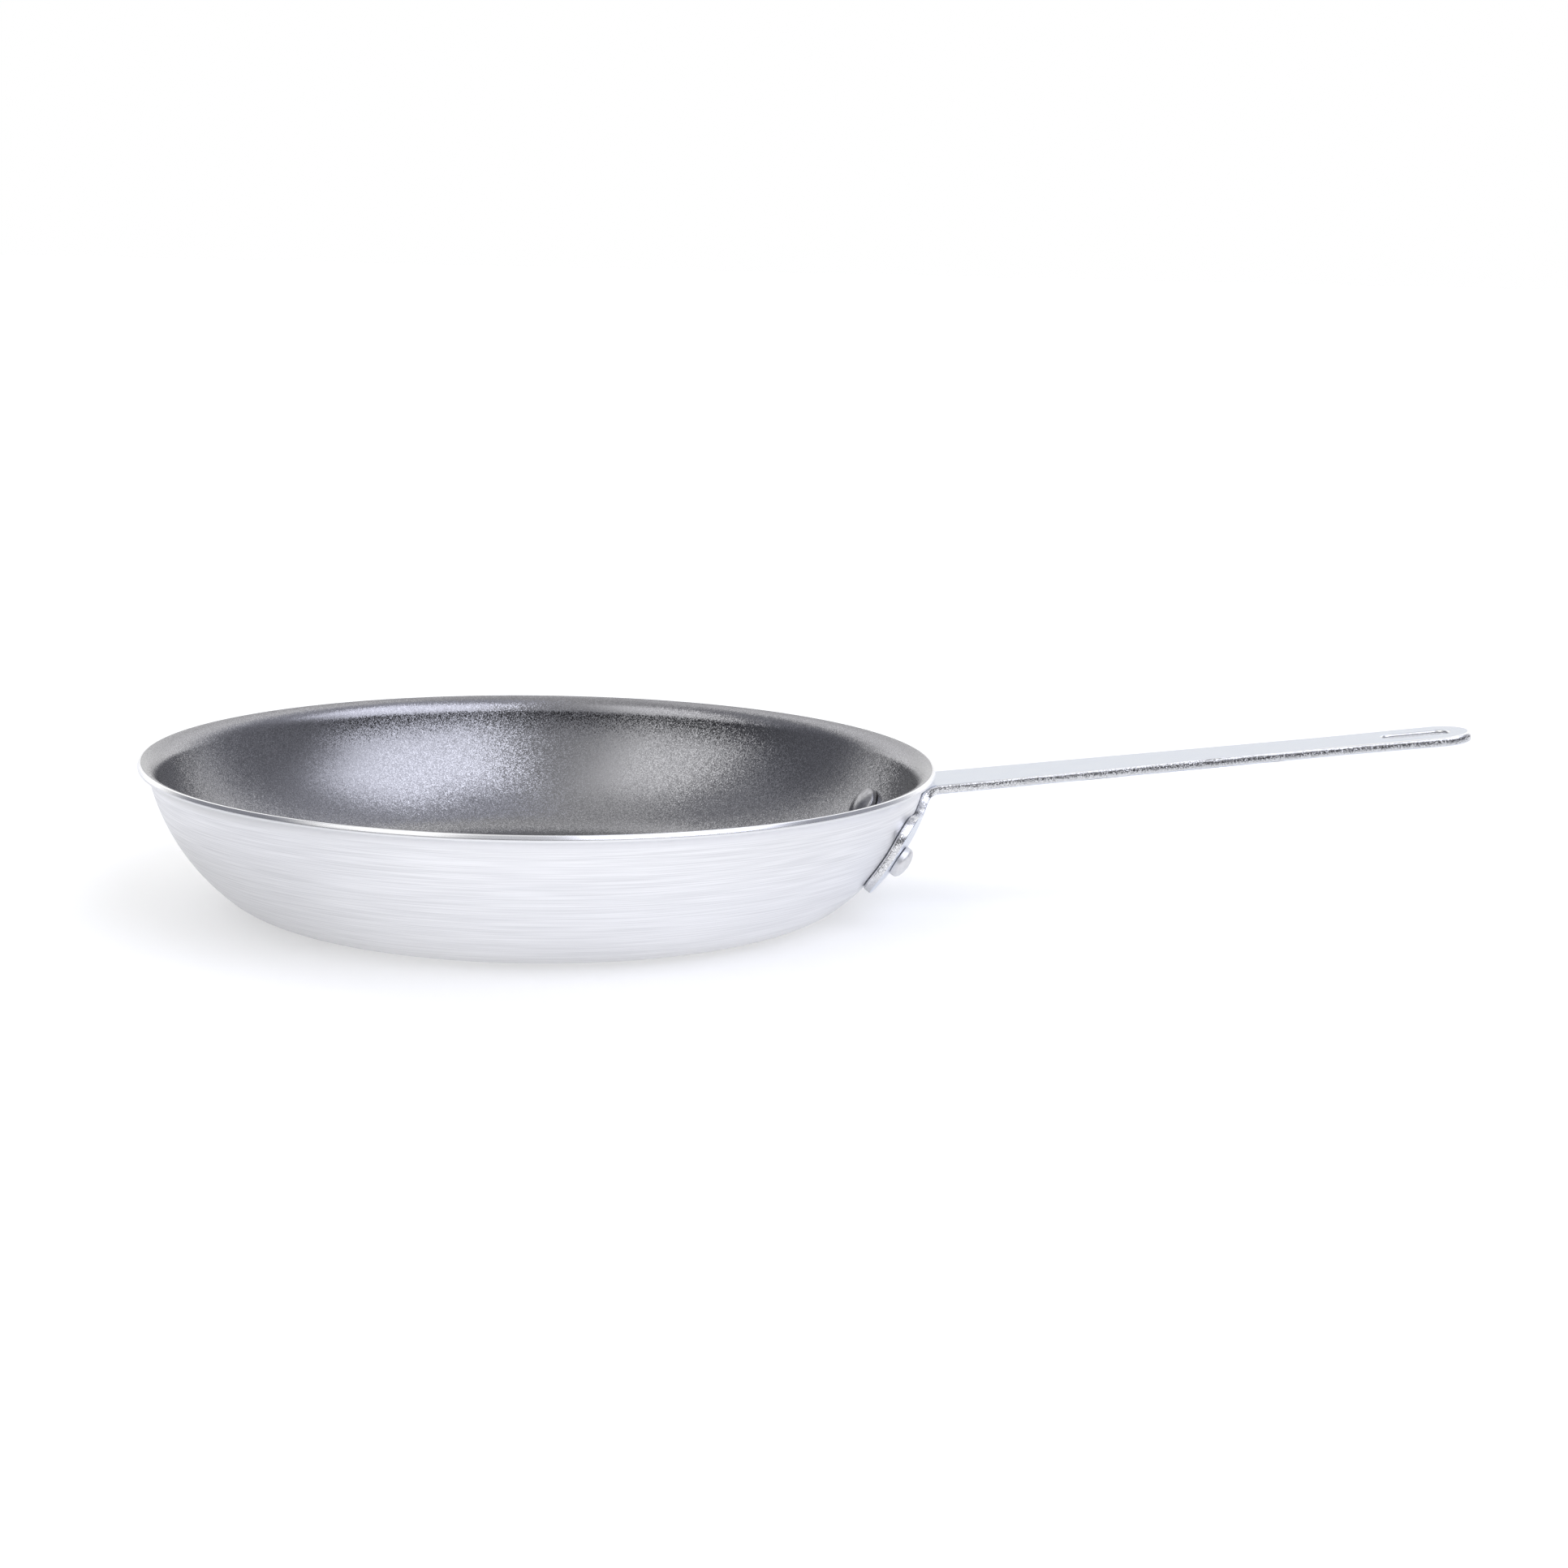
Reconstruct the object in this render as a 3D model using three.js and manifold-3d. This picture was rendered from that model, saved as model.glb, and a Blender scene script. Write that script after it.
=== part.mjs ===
// Frying pan: an aluminium body with a non-stick lining and a strap handle held by two rivets.
// Millimetres, +Z up. The origin is the middle of the base's underside, and the handle points along +X.
import * as THREE from "three";
import { mergeVertices } from "three/addons/utils/BufferGeometryUtils.js";
import Module from "manifold-3d";

const { sin, cos, tan, acos, asin, sqrt, sign, PI } = Math;
const { degToRad } = THREE.MathUtils;
const wasm = await Module();
wasm.setup();

// Body: slopes are measured from the horizontal
const RIM_DIAMETER = 304.8; // top edge of the lip
const PAN_HEIGHT = 56.5; // underside of the base to the top edge of the lip
const SHEET = 2.6;
const CORNER_RADIUS = 32.5; // outside, where the base turns up into the wall
const CORNER_SLOPE = degToRad(40); // where the corner hands over to the wall
const WALL_SLOPE = degToRad(75.5); // where the wall hands over to the lip
const LIP_RADIUS = 7.4; // underside of the lip
const LIP_SLOPE = degToRad(17); // at the lip's edge

// Lining
const LINING = 0.4;
const LINING_SETBACK = 1; // bare metal left along the lip's edge

// Handle
const STRAP = 3.6; // thickness of the steel
const BAR_LENGTH = 213; // from under the rim's edge to the tip, along the bar
const BAR_DROP = 6.9; // from the rim's level down to the top of the bar
const BAR_RISE = degToRad(6.1);
const BEND_RADIUS = 5.4; // underside of the bend between foot and bar
const ROOT_WIDTH = 30.4;
const WAIST_WIDTH = 24.2;
const WAIST_TO_TIP = 60;
const END_WIDTH = 26.6;
const SLOT_LENGTH = 26.4;
const SLOT_WIDTH = 9;
const SLOT_MARGIN = 8.2; // metal left between the slot and the tip
const FOOT_CORNER = 7;
const FOOT_FILLET = 9; // between the neck and the wings of the foot

// Rivets
const RIVET_SPACING = 86;
const RIVET_DROP = 28.3; // from the rim's level down to the rivets, on the outside of the wall
const RIVET_TO_SIDE = 11; // from a rivet to the end of its wing of the foot
const RIVET_TO_TOP = 15; // up the wall to the top of the wing
const RIVET_TO_BOTTOM = 15.4; // down the wall to the foot's bottom edge
const SHANK_DIAMETER = 6.4;
const OUTER_HEAD_DIAMETER = 12.2;
const OUTER_HEAD_HEIGHT = 4.5;
const OUTER_HEAD_SIDE = 2.2; // straight part of the outer head, under its dome
const INNER_HEAD_DIAMETER = 14.4;
const INNER_HEAD_HEIGHT = 1.8;
const INNER_HEAD_ROUND = 1.2; // rounding of the inner head's edge

const CLEARANCE = 0.3; // between pieces that touch

// Fineness of the facets
const ROUND_SEGMENTS = 80;
const RIVET_SEGMENTS = 24;
const CORNER_STEPS = 4;
const WALL_STEPS = 5;
const LIP_STEPS = 5;
const BEND_STEPS = 6;
const DOME_STEPS = 5;
const OUTLINE_STEPS = 8;

// Profile geometry: radius and height stand in x and y

// A point on a circle where a curve that follows it has the given slope.
function onArc(centre, radius, slope) {
  return new THREE.Vector2(centre.x + radius * sin(slope), centre.y - radius * cos(slope));
}

// An arc between two slopes. A negative radius bends it the other way, round a centre on the far side.
function arc(centre, radius, fromSlope, toSlope, steps) {
  const step = (toSlope - fromSlope) / steps;
  return Array.from({ length: steps + 1 }, (_, i) => onArc(centre, radius, fromSlope + i * step));
}

// The wall's radius closes the height, and the base takes up what the curves leave of the rim's radius.
const rimRadius = RIM_DIAMETER / 2;
const lipTopRadius = LIP_RADIUS + SHEET;
const cornerRise = CORNER_RADIUS * (1 - cos(CORNER_SLOPE));
const lipRise = lipTopRadius * cos(LIP_SLOPE) - LIP_RADIUS * cos(WALL_SLOPE);
const wallRadius = (PAN_HEIGHT - cornerRise - lipRise) / (cos(CORNER_SLOPE) - cos(WALL_SLOPE));
const cornerRun = CORNER_RADIUS * sin(CORNER_SLOPE);
const wallRun = wallRadius * (sin(WALL_SLOPE) - sin(CORNER_SLOPE));
const lipRun = LIP_RADIUS * sin(WALL_SLOPE) - lipTopRadius * sin(LIP_SLOPE);
const baseRadius = rimRadius - cornerRun - wallRun - lipRun;
const cornerCentre = new THREE.Vector2(baseRadius, CORNER_RADIUS);
const wallCentre = onArc(cornerCentre, CORNER_RADIUS - wallRadius, CORNER_SLOPE);
const lipCentre = onArc(wallCentre, wallRadius + LIP_RADIUS, WALL_SLOPE);

// The pan's surface at a depth below its outside, from the base's edge to the lip's.
function panSurface(depth, lipEnd = LIP_SLOPE) {
  return [
    ...arc(cornerCentre, CORNER_RADIUS - depth, 0, CORNER_SLOPE, CORNER_STEPS),
    ...arc(wallCentre, wallRadius - depth, CORNER_SLOPE, WALL_SLOPE, WALL_STEPS).slice(1),
    ...arc(lipCentre, -LIP_RADIUS - depth, WALL_SLOPE, lipEnd, LIP_STEPS).slice(1),
  ];
}

// Solids

// Turns a profile about the Z axis.
function revolve(profile, segments) {
  return new THREE.LatheGeometry(profile, segments).rotateX(PI / 2);
}

// A closed geometry as a solid that can be cut.
function toSolid(geometry) {
  const bare = geometry.clone().deleteAttribute("normal").deleteAttribute("uv");
  const { index, attributes } = mergeVertices(bare);
  const mesh = new wasm.Mesh({
    numProp: 3,
    vertProperties: attributes.position.array,
    triVerts: new Uint32Array(index.array),
  });
  return new wasm.Manifold(mesh);
}

// A cut solid as a geometry again.
function toGeometry(solid) {
  const { vertProperties, triVerts } = solid.getMesh();
  const geometry = new THREE.BufferGeometry();
  geometry.setAttribute("position", new THREE.BufferAttribute(vertProperties, 3));
  geometry.setIndex(new THREE.BufferAttribute(triVerts, 1));
  geometry.computeVertexNormals();
  return geometry;
}

// An outline whose corners, given as x, y and radius, are rounded by arcs.
function roundedOutline(corners) {
  const points = corners.flatMap(([x, y, radius], i) => {
    const corner = new THREE.Vector2(x, y);
    if (!radius) return [corner];
    const [before, after] = [i + corners.length - 1, i + 1].map((k) => corners[k % corners.length]);
    const back = new THREE.Vector2(before[0] - x, before[1] - y).normalize();
    const ahead = new THREE.Vector2(after[0] - x, after[1] - y).normalize();
    const halfAngle = acos(back.dot(ahead)) / 2;
    const inward = back.clone().add(ahead).normalize();
    const centre = corner.clone().addScaledVector(inward, radius / sin(halfAngle));
    const start = corner.clone().addScaledVector(back, radius / tan(halfAngle)).sub(centre);
    const sweep = (PI - 2 * halfAngle) * sign(ahead.cross(back));
    return Array.from({ length: OUTLINE_STEPS + 1 }, (_, k) =>
      start.clone().rotateAround(new THREE.Vector2(), (sweep * k) / OUTLINE_STEPS).add(centre),
    );
  });
  return new THREE.Shape(points);
}

// A shape pulled equally to both sides of its plane.
function prism(shape, thickness) {
  const options = { depth: thickness, bevelEnabled: false, curveSegments: OUTLINE_STEPS };
  return new THREE.ExtrudeGeometry(shape, options).translate(0, 0, -thickness / 2);
}

// Rivet seats: a frame on the outside of the wall for each rivet, whose Z axis points out along the rivet
const rivetHeight = PAN_HEIGHT - RIVET_DROP;
const rivetSlope = acos((wallCentre.y - rivetHeight) / wallRadius);
const rivetRadius = onArc(wallCentre, wallRadius, rivetSlope).x;
const rivetTurn = asin(RIVET_SPACING / 2 / rivetRadius);
const rivetSeats = [-rivetTurn, rivetTurn].map((turn) => {
  const seat = new THREE.Group();
  seat.rotation.set(0, PI - rivetSlope, turn, "ZYX");
  seat.position.set(rivetRadius * cos(turn), rivetRadius * sin(turn), rivetHeight);
  seat.updateMatrix();
  return seat;
});
const rivetHoles = rivetSeats.map((seat) => {
  const radius = SHANK_DIAMETER / 2 + CLEARANCE;
  const length = 4 * (SHEET + LINING + STRAP);
  const hole = new THREE.CylinderGeometry(radius, radius, length, RIVET_SEGMENTS).rotateX(PI / 2);
  return toSolid(hole.applyMatrix4(seat.matrix));
});

// Cuts the rivet holes through a geometry.
function riveted(geometry) {
  const cut = rivetHoles.reduce((solid, hole) => solid.subtract(hole), toSolid(geometry));
  return toGeometry(cut);
}

// Pan body
function panBody() {
  const outside = [new THREE.Vector2(0, 0), ...panSurface(0)];
  const inside = [new THREE.Vector2(0, SHEET), ...panSurface(SHEET)];
  return riveted(revolve([...outside, ...inside.reverse()], ROUND_SEGMENTS));
}

// Non-stick lining
const liningBack = SHEET + CLEARANCE;
const liningFace = liningBack + LINING;

function nonstickLining() {
  const lipEnd = LIP_SLOPE + LINING_SETBACK / lipTopRadius;
  const back = [new THREE.Vector2(0, liningBack), ...panSurface(liningBack, lipEnd)];
  const face = [new THREE.Vector2(0, liningFace), ...panSurface(liningFace, lipEnd)];
  return riveted(revolve([...back, ...face.reverse()], ROUND_SEGMENTS));
}

// Handle: a strip with the handle's side profile is turned about the pan's axis, so that the foot hugs
// the wall. It is then trimmed to the foot's outline, square to the wall, and to the bar's outline.
const footArc = wallRadius + CLEARANCE;
const bendTopRadius = BEND_RADIUS + STRAP;
const barStart = new THREE.Vector2(rimRadius, PAN_HEIGHT - BAR_DROP);
const barNormal = new THREE.Vector2(-sin(BAR_RISE), cos(BAR_RISE));
const bendDepth = barNormal.dot(wallCentre.clone().sub(barStart)) + bendTopRadius;
const bendSlope = BAR_RISE + acos(bendDepth / (footArc + bendTopRadius));
const bendCentre = onArc(wallCentre, footArc + bendTopRadius, bendSlope);
const handleReach = rimRadius + BAR_LENGTH;

// The strip's side profile at a depth below its top face, from the base's edge to beyond the tip.
function strapFace(depth) {
  const along = new THREE.Vector2(cos(BAR_RISE), sin(BAR_RISE));
  const root = barStart.clone().addScaledVector(barNormal, -depth);
  const end = root.addScaledVector(along, BAR_LENGTH + END_WIDTH);
  return [
    ...arc(cornerCentre, CORNER_RADIUS + CLEARANCE + depth, 0, CORNER_SLOPE, CORNER_STEPS),
    ...arc(wallCentre, footArc + depth, CORNER_SLOPE, bendSlope, WALL_STEPS).slice(1),
    ...arc(bendCentre, depth - bendTopRadius, bendSlope, BAR_RISE, BEND_STEPS).slice(1),
    end,
  ];
}

// The foot and its neck, seen square to the wall at the rivets. The origin lies midway between the rivets,
// x runs across and y up the wall.
function footOutline() {
  const side = RIVET_SPACING / 2 + RIVET_TO_SIDE;
  const neck = ROOT_WIDTH / 2;
  return roundedOutline([
    [-side, -RIVET_TO_BOTTOM, FOOT_CORNER],
    [side, -RIVET_TO_BOTTOM, FOOT_CORNER],
    [side, RIVET_TO_TOP, FOOT_CORNER],
    [neck, RIVET_TO_TOP, FOOT_FILLET],
    [neck, handleReach, 0],
    [-neck, handleReach, 0],
    [-neck, RIVET_TO_TOP, FOOT_FILLET],
    [-side, RIVET_TO_TOP, FOOT_CORNER],
  ]);
}

// The bar seen square to its top, with x running along it from under the rim. Behind that it is wide
// enough for the foot.
function barOutline() {
  const [root, waist, end] = [ROOT_WIDTH, WAIST_WIDTH, END_WIDTH].map((width) => width / 2);
  const waistX = BAR_LENGTH - WAIST_TO_TIP;
  const endX = BAR_LENGTH - end;
  const midX = (waistX + endX) / 2;
  const third = waistX / 3;
  const taper = (2 * root + waist) / 3;
  const quarterTurn = PI / 2;
  return new THREE.Shape()
    .moveTo(-rimRadius, -rimRadius)
    .lineTo(0, -rimRadius)
    .lineTo(0, -root)
    .bezierCurveTo(third, -taper, waistX - third, -waist, waistX, -waist)
    .bezierCurveTo(midX, -waist, midX, -end, endX, -end)
    .absarc(endX, 0, end, -quarterTurn, quarterTurn)
    .bezierCurveTo(midX, end, midX, waist, waistX, waist)
    .bezierCurveTo(waistX - third, waist, third, taper, 0, root)
    .lineTo(0, rimRadius)
    .lineTo(-rimRadius, rimRadius);
}

// The hanging slot, in the same place as the bar's outline.
function slotOutline() {
  const round = SLOT_WIDTH / 2;
  const outerX = BAR_LENGTH - SLOT_MARGIN - round;
  const innerX = outerX - SLOT_LENGTH + SLOT_WIDTH;
  const quarterTurn = PI / 2;
  return new THREE.Shape()
    .absarc(outerX, 0, round, -quarterTurn, quarterTurn)
    .absarc(innerX, 0, round, quarterTurn, 3 * quarterTurn);
}

function handle() {
  const under = strapFace(STRAP);
  const strip = revolve([...under, ...strapFace(0).reverse(), under[0]], ROUND_SEGMENTS);
  const squareToWall = new THREE.Matrix4().makeBasis(
    new THREE.Vector3(0, 1, 0),
    new THREE.Vector3(cos(rivetSlope), 0, sin(rivetSlope)),
    new THREE.Vector3(sin(rivetSlope), 0, -cos(rivetSlope)),
  );
  squareToWall.setPosition(rivetRadius * cos(rivetTurn), 0, rivetHeight);
  const front = toSolid(prism(footOutline(), 2 * handleReach).applyMatrix4(squareToWall));
  const [plan, slot] = [barOutline(), slotOutline()].map((outline) =>
    toSolid(prism(outline, 2 * handleReach).rotateY(-BAR_RISE).translate(barStart.x, 0, barStart.y)),
  );
  const trimmed = toSolid(strip).intersect(front).intersect(plan).subtract(slot);
  return riveted(toGeometry(trimmed));
}

// Rivet, along Z, with the outside of the wall at zero. The inner head is flat underneath, so it stands off
// the wall's curve by the depth of the hollow that it spans.
function rivet() {
  const shank = SHANK_DIAMETER / 2;
  const outer = OUTER_HEAD_DIAMETER / 2;
  const inner = INNER_HEAD_DIAMETER / 2;
  const hollow = wallRadius - liningFace - sqrt((wallRadius - liningFace) ** 2 - inner ** 2);
  const outerSeat = CLEARANCE + STRAP + CLEARANCE;
  const innerSeat = -liningFace - CLEARANCE - hollow;
  const innerEnd = innerSeat - INNER_HEAD_HEIGHT;
  const roundCentre = new THREE.Vector2(inner - INNER_HEAD_ROUND, innerEnd + INNER_HEAD_ROUND);
  const domeHeight = OUTER_HEAD_HEIGHT - OUTER_HEAD_SIDE;
  const dome = new THREE.EllipseCurve(0, outerSeat + OUTER_HEAD_SIDE, outer, domeHeight, 0, PI / 2);
  const domePoints = dome.getPoints(DOME_STEPS).slice(0, -1);
  return revolve(
    [
      new THREE.Vector2(0, innerEnd),
      ...arc(roundCentre, INNER_HEAD_ROUND, 0, PI / 2, DOME_STEPS),
      new THREE.Vector2(inner, innerSeat),
      new THREE.Vector2(shank, innerSeat),
      new THREE.Vector2(shank, outerSeat),
      new THREE.Vector2(outer, outerSeat),
      ...domePoints,
      new THREE.Vector2(0, outerSeat + OUTER_HEAD_HEIGHT),
    ],
    RIVET_SEGMENTS,
  );
}

// Assembly
function metal(color, roughness) {
  return new THREE.MeshStandardMaterial({ color, roughness, metalness: 1 });
}

function named(name, geometry, material) {
  const mesh = new THREE.Mesh(geometry, material);
  mesh.name = name;
  return mesh;
}

const pan = new THREE.Group();
pan.add(named("pan_body", panBody(), metal(0xdfe2e8, 0.35)));
pan.add(
  named(
    "nonstick_lining",
    nonstickLining(),
    new THREE.MeshStandardMaterial({ color: 0x4c4d52, roughness: 0.45, metalness: 0.2 }),
  ),
);
pan.add(named("handle", handle(), metal(0xe4e8f0, 0.3)));
["rivet_near", "rivet_far"].forEach((name, i) => {
  rivetSeats[i].add(named(name, rivet(), metal(0xd4d4d6, 0.5)));
  pan.add(rivetSeats[i]);
});

export default pan;
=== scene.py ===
"""A frying pan: brushed aluminium body, dark speckled lining and a plated strap handle on two rivets.

Metres, +Z up. The origin is the middle of the base's underside, and the handle points along +X.
"""
from math import acos, asin, atan2, cos, pi, radians, sin, sqrt, tan

import bmesh
import bpy
from mathutils import Matrix, Vector, noise


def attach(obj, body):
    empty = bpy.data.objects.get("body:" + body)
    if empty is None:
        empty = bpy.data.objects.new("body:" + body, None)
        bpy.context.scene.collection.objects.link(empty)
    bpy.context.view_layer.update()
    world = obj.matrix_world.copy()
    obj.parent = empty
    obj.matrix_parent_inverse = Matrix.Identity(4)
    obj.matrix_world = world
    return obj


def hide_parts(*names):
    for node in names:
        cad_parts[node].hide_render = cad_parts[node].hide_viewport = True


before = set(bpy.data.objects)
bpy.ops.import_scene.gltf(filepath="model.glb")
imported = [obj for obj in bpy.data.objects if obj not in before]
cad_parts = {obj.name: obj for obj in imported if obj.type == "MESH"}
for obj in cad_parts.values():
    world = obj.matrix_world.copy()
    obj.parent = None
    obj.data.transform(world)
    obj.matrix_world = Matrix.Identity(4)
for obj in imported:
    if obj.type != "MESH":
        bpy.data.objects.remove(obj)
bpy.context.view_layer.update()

# Body: slopes are measured from the horizontal
RIM_DIAMETER = 0.3048  # top edge of the lip
PAN_HEIGHT = 0.0565  # underside of the base to the top edge of the lip
SHEET = 0.0026
CORNER_RADIUS = 0.0325  # outside, where the base turns up into the wall
CORNER_SLOPE = radians(40)  # where the corner hands over to the wall
WALL_SLOPE = radians(75.5)  # where the wall hands over to the lip
LIP_RADIUS = 0.0074  # underside of the lip
LIP_SLOPE = radians(17)  # at the lip's edge
LIP_EDGE_LEAN = radians(5.5)  # of the lip's cut edge, back from square
LIP_ARRIS = 0.0006  # rounding of the upper arris of that edge
LIP_LOW_ARRIS = 0.001
LIP_TIGHTENING = 0.0009  # by which the lip's curve is tighter inside than the sheet's thickness makes it

# Lining
FILM_GAP = 0.00002  # between the metal and the lining's back
FILM = 0.0001

# Handle
STRAP = 0.0036  # thickness of the steel
BAR_LENGTH = 0.213  # from under the rim's edge to the tip, along the bar
BAR_DROP = 0.0069  # from the rim's level down to the top of the bar
BAR_RISE = radians(6.1)
BEND_RADIUS = 0.0054  # underside of the bend between foot and bar
ROOT_WIDTH = 0.0304
WAIST_WIDTH = 0.0242
WAIST_TO_TIP = 0.060
END_WIDTH = 0.0266
SLOT_LENGTH = 0.0264
SLOT_WIDTH = 0.009
SLOT_MARGIN = 0.0082  # metal left between the slot and the tip
FOOT_CORNER = 0.007
FOOT_SHOULDER = 0.012  # rounding of the wings' upper corners
FOOT_FILLET = 0.011  # between the neck and the wings of the foot
STRAP_ARRIS = 0.00125  # rounding of the strap's upper arris, on the side of the bar's top face
STRAP_LOW_ARRIS = 0.0004
TORN_HEIGHT = 0.001  # of the torn band below the upper arris
TORN_LEAN = radians(9)

# Rivets
RIVET_SPACING = 0.086
RIVET_DROP = 0.0283  # from the rim's level down to the rivets, on the outside of the wall
RIVET_TO_SIDE = 0.011  # from a rivet to the end of its wing of the foot
RIVET_TO_TOP = 0.017  # up the wall to the top of the wing
RIVET_TO_BOTTOM = 0.0154  # down the wall to the foot's bottom edge
SHANK_DIAMETER = 0.0064
OUTER_HEAD_DIAMETER = 0.0122
OUTER_HEAD_HEIGHT = 0.0045
OUTER_HEAD_SIDE = 0.0018  # straight part of the outer head, under its dome
INNER_HEAD_DIAMETER = 0.0172
INNER_HEAD_HEIGHT = 0.0046
INNER_HEAD_CROWN = 0.002  # of that height, the crown of its face
INNER_HEAD_ROUND = 0.0012  # rounding of the inner head's edge
RIVET_ARRIS = 0.0003
HAMMER_MARKS = 0.00006  # depth of the unevenness of the rivet heads

FOOT_GAP = 0.00005  # between the wall and the foot, which is riveted tight

# Fineness of the meshes
PAN_SEGMENTS = 288
RIVET_SEGMENTS = 64
CORNER_STEPS = 16
WALL_STEPS = 20
LIP_STEPS = 12
ARRIS_STEPS = 6
OUTLINE_STEPS = 14
FOOT_STEP = 0.002
BEND_STEP = 0.0008
BAR_STEP = 0.006
BEVEL_STEPS = 3
WELD = 1e-6  # vertices of the flat strap that are closer than this are joined
NEAR = 1e-7  # lengths below this count as nothing

# Camera: it stands round the middle of the rim and looks a little past it
CAMERA_DISTANCE = 1.2
CAMERA_TURN = radians(1)
CAMERA_ELEVATION = radians(10.105)
CAMERA_YAW = radians(4.588)
CAMERA_PITCH = radians(10.544)
CAMERA_ROLL = radians(1.374)
CAMERA_SENSOR = 36  # millimetres, as the lens
CAMERA_LENS = 70.967

# Colours: a pair runs from the darkest to the lightest
BRUSHED_METAL = (0.80, 0.803, 0.82, 1), (0.94, 0.942, 0.96, 1)
PLAIN_METAL = (0.87, 0.873, 0.89, 1)
POLISHED_METAL = (0.95, 0.952, 0.97, 1)
COATING = (0.215, 0.214, 0.225, 1), (0.48, 0.48, 0.5, 1)
COATING_ON_LIP = (0.34, 0.335, 0.358, 1)
PLATING = (0.74, 0.785, 0.87, 1), (0.78, 0.82, 0.905, 1)
# Painted highlight along the bar's upper arris
PAINTED_ARRIS_HIGHLIGHT = (0.97, 0.975, 0.985, 1)
SHEARED_FOOT = (0.56, 0.565, 0.59, 1), (1, 1, 1, 1)
# Painted shade: the foot's sheared edge goes darker and plain towards its bottom
SHADED_FOOT_BOTTOM = (0.6, 0.61, 0.64, 1)
SHEARED_SLOT = (0.86, 0.865, 0.88, 1)
SHEARED_BAR = (0.75, 0.76, 0.785, 1)
# The torn metal's rough grain, darkened further with painted shade
TORN_BAND_AND_SHADE = (0.16, 0.16, 0.17, 1), (0.85, 0.85, 0.87, 1)
HAMMERED_HEAD = (0.76, 0.76, 0.77, 1), (0.92, 0.92, 0.925, 1)
# The inner head's aluminium, darkened with painted shade
SHADED_INNER_HEAD = (0.22, 0.22, 0.232, 1), (0.54, 0.54, 0.56, 1)
WHITE = (1, 1, 1, 1)
COOL_WHITE = (0.93, 0.95, 1.06, 1)
FLOOR_PAPER = (0.82, 0.82, 0.82, 1)

# Grain of the surfaces, counted in a metre. Scratches are counted round the pan and then across them
FINE_SCRATCHES = 40, 4600
MIDDLE_SCRATCHES = 26, 2900
BROAD_SCRATCHES = 10, 700
MIDDLE_SHARE = 0.4
BROAD_SHARE = 0.06
SCRATCH_DEPTH = 0.00004
FLAKES = 3300
FLAKE_LEAN = 0.155
FLAKE_LEAN_ON_LIP = 0.08
SMOOTHING_OF_LIP = 0.4  # share by which the coating is smoother there
PLATING_CLOUDS = 90
CRYSTALS = 2900
TORN_WAVES = 600  # along the torn band's borders
RIVET_CLOUDS = 700
RIVET_PITS = 3500
PIT_DEPTH = 0.0001
NOISE_RANGE = 0.3, 0.7  # where nearly all values of a noise lie

# Borders on the strap's side, as shares of its thickness above the under face
TORN_START = 0.44, 0.5
TORN_END = 0.7, 0.64
SIDE_START = 0.0, 0.15
SIDE_END = 1.0, 0.88
# The band that takes the painted highlight on the upper arris
HIGHLIGHT_START = 0.64, 0.72
HIGHLIGHT_END = 1.0, 0.98

# Light from the parts of the studio, where 1 is white
STUDIO_FRONT = 0.64
STUDIO_LEFT = 0.46
STUDIO_FILL = 1.5
STUDIO_KEY = 2.3
STUDIO_OVERHEAD = 0.75
STUDIO_BACK = 1.18
STUDIO_BACK_MIDDLE = 0.92
STUDIO_LOW = 0.02  # share of the light that is left near the floor in front
STUDIO_SIDE_LOW = 0.5  # the same at the sides

# Turns in degrees from the camera's side, to the right, where a part starts, is full, fades and ends
KEY_TURNS = 4, 26, 66, 86
KEY_TOP_TURNS = 4, 26, 82, 104  # of the key light's upper part, which is wider
FILL_TURNS = -82, -62, -36, -16
LEFT_TURNS = -134, -112, -98, -60
RIGHT_TURNS = 60, 98, 118, 140

# The same for parts that start and are full from there on
BACK_FROM_LEFT = -112, -137
BACK_FROM_RIGHT = 114, 144
BACK_MIDDLE_TURNS = 150, 166  # to both sides
COOL_TURNS = -25, 35

# Elevations in degrees where a part starts and is full
KEY_TOP_RISE = 28, 40
FRONT_RISE = 20.2, 24.5
FRONT_SLOW_RISE = 24, 44
FRONT_SLOW_SHARE = 0.25
SIDE_RISE = 22, 54
OVERHEAD_RISE = 58, 76

# Floor: its light in reflections falls off to both sides of the pan
FLOOR_REACH = 12
FLOOR_GAP = 0.0002
FLOOR_LIFT = 0.36  # light of its own, for the camera and in reflections
FLOOR_LEFT = -0.18, -0.03, 0.4, 1.0  # from one place to another, from one share of the light to another
FLOOR_RIGHT = 0.2, 0.05, 0.6, 1.0


# Profile geometry: radius and height stand in x and y

def on_arc(centre, radius, slope):
    """A point on a circle where a curve that follows it has the given slope."""
    return centre + radius * Vector((sin(slope), -cos(slope)))


def arc(centre, radius, start, end, steps):
    """An arc between two slopes. A negative radius bends it the other way, with its centre beyond."""
    return [on_arc(centre, radius, start + (end - start) * i / steps) for i in range(steps + 1)]


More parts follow.
